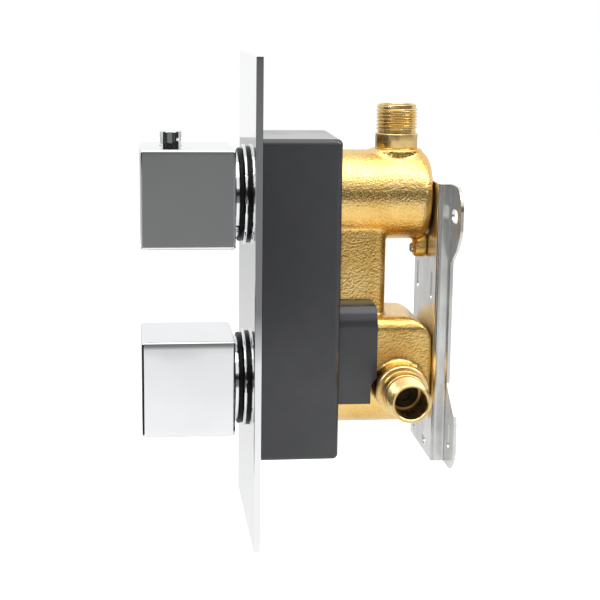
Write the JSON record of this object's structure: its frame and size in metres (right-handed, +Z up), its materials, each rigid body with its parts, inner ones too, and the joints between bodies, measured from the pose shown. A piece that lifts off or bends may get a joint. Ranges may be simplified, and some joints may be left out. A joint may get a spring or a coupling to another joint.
{
  "type": "thermostatic shower valve",
  "caption": "Concealed thermostatic shower valve: square chrome plate with cube handles, cast brass body, plastic guard box, threaded pipe ends and a pressed wall bracket.",
  "frame": {"origin": "on the wall face, midway between the two upper fixing slots of the bracket", "axes": "+X to the right seen by the user, +Y into the wall, +Z up; the user stands on the -Y side"},
  "size_m": [0.1192, 0.1568, 0.2458],
  "materials": {
    "zinc_plated": "bright zinc plated sheet",
    "screw_steel": "zinc plated",
    "cast_brass": "blasted casting",
    "turned_brass": "turned, bright",
    "guard_plastic": "satin, moulded",
    "chrome_plate": "polished",
    "black_rubber": "matt",
    "white_plastic": "moulded",
    "spring_steel": "drawn wire",
    "mesh_steel": "perforated",
    "ceramic": "lapped"
  },
  "bodies": {
    "valve": {"wall_bracket": "zinc_plated", "bracket_screws": "screw_steel", "bracket_washers": "screw_steel", "valve_body": "cast_brass", "outlet_nipple": "turned_brass", "cold_nipple": "turned_brass", "hot_nipple": "turned_brass", "check_bodies": "white_plastic", "check_rings": "black_rubber", "cold_check_spring": "spring_steel", "hot_check_spring": "spring_steel", "guard_box": "guard_plastic", "guard_screws": "screw_steel", "plate_gasket": "black_rubber", "face_plate": "chrome_plate", "temperature_sleeve": "chrome_plate", "flow_sleeve": "chrome_plate", "sleeve_rings": "black_rubber", "sleeve_seals": "black_rubber", "stop_sleeve": "white_plastic", "thermostat_housing": "turned_brass", "thermostat_nut": "turned_brass", "thermostat_rings": "black_rubber", "thermostat_strainers": "mesh_steel", "return_spring": "spring_steel", "spindle_rings": "black_rubber", "flow_housing": "turned_brass", "flow_nut": "turned_brass", "flow_rings": "black_rubber", "fixed_disc": "ceramic", "disc_seal": "black_rubber"},
    "temperature_knob": {"temperature_handle": "chrome_plate", "temperature_screw": "screw_steel", "temperature_adapter": "white_plastic", "thermostat_spindle": "turned_brass", "temperature_clip": "spring_steel", "button_spring": "spring_steel"},
    "button": {"safety_button": "chrome_plate", "button_clip": "spring_steel"},
    "thermostat": {"regulating_nut": "turned_brass", "overtravel_spring": "spring_steel", "wax_element": "turned_brass", "thermostat_spool": "white_plastic"},
    "flow_knob": {"flow_handle": "chrome_plate", "flow_screw": "screw_steel", "flow_adapter": "white_plastic", "flow_spindle": "turned_brass", "flow_clip": "spring_steel", "moving_disc": "ceramic"},
    "cold_check": {"cold_poppet": "white_plastic"},
    "hot_check": {"hot_poppet": "white_plastic"}
  },
  "joints": [
    {"name": "temperature_turn", "type": "hinge", "parent": "valve", "child": "temperature_knob", "pos_m": [0, -0.11, 0.0066], "axis": [0, -1, 0], "range_deg": [-160, 35]},
    {"name": "button_press", "type": "slide", "parent": "temperature_knob", "child": "button", "axis": [0, 0, -1], "range_m": [0, 0.0025], "stiffness_N_per_m": 400, "springref_m": -0.002, "deforming": ["button_spring"]},
    {"name": "thermostat_slide", "type": "slide", "parent": "valve", "child": "thermostat", "axis": [0, -1, 0], "range_m": [-0.0008, 0.0003], "deforming": ["return_spring"]},
    {"name": "flow_turn", "type": "hinge", "parent": "valve", "child": "flow_knob", "pos_m": [0, -0.11, -0.0902], "axis": [0, -1, 0], "range_deg": [0, 90]},
    {"name": "cold_check_lift", "type": "slide", "parent": "valve", "child": "cold_check", "axis": [-1, 0, 0], "range_m": [0, 0.003], "stiffness_N_per_m": 60, "springref_m": -0.002, "deforming": ["cold_check_spring"]},
    {"name": "hot_check_lift", "type": "slide", "parent": "valve", "child": "hot_check", "axis": [1, 0, 0], "range_m": [0, 0.003], "stiffness_N_per_m": 60, "springref_m": -0.002, "deforming": ["hot_check_spring"]}
  ],
  "couplings": [
    {"joint": "thermostat_slide", "follows": "temperature_turn", "m_per_rad": 0.00023873}
  ]
}
